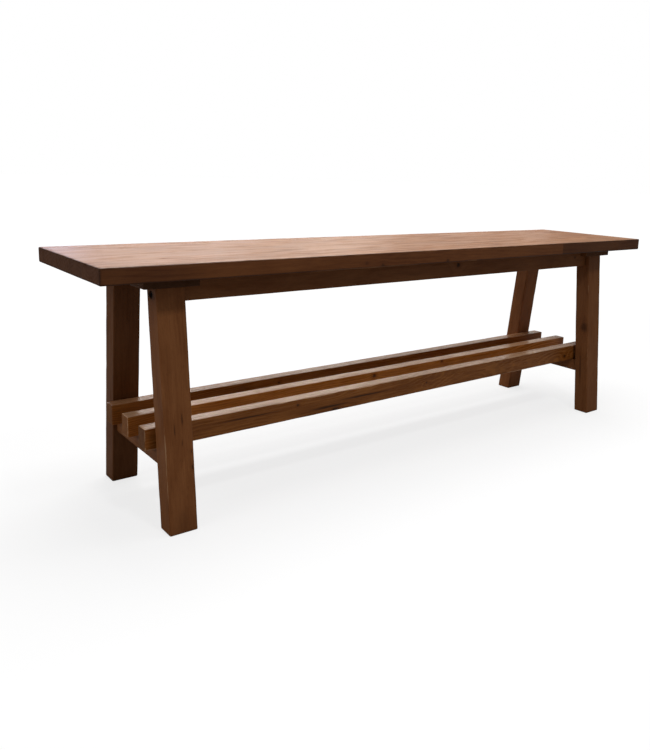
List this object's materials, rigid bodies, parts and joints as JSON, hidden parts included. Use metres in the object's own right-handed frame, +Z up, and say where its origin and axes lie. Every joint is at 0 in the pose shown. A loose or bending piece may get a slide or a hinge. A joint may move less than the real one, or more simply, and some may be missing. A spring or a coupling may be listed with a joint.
{
  "type": "bench",
  "caption": "Long backless wooden bench: a glued stave seat on splayed legs, with long aprons, cross rails and a low shelf of slats.",
  "frame": {"origin": "on the floor under the middle of the seat", "axes": "+X along the seat to the right, +Y from the front to the back, +Z up"},
  "size_m": [1.413, 0.305, 0.45],
  "materials": {
    "seat_wood": "walnut brown stain, satin lacquer",
    "frame_wood": "walnut brown stain, satin lacquer",
    "slat_wood": "walnut brown stain, satin lacquer",
    "dowel_wood": "bare, fluted beech",
    "black_steel": "black oxide",
    "plated_steel": "zinc plated"
  },
  "bodies": {
    "root": {"seat_stave_front_left": "seat_wood", "seat_stave_front_right": "seat_wood", "seat_stave_middle_front": "seat_wood", "seat_stave_middle_back": "seat_wood", "seat_stave_back": "seat_wood", "cleat_left": "frame_wood", "cleat_right": "frame_wood", "leg_front_left": "frame_wood", "leg_front_right": "frame_wood", "leg_back_left": "frame_wood", "leg_back_right": "frame_wood", "apron_front": "frame_wood", "apron_back": "frame_wood", "cross_rail_left": "frame_wood", "cross_rail_right": "frame_wood", "slat_front": "slat_wood", "slat_middle": "slat_wood", "slat_back": "slat_wood", "apron_dowels": "dowel_wood", "leg_bolts": "black_steel", "bolt_washers": "black_steel", "barrel_nuts": "plated_steel", "cleat_screws": "plated_steel", "slat_screws": "plated_steel"}
  },
  "joints": []
}
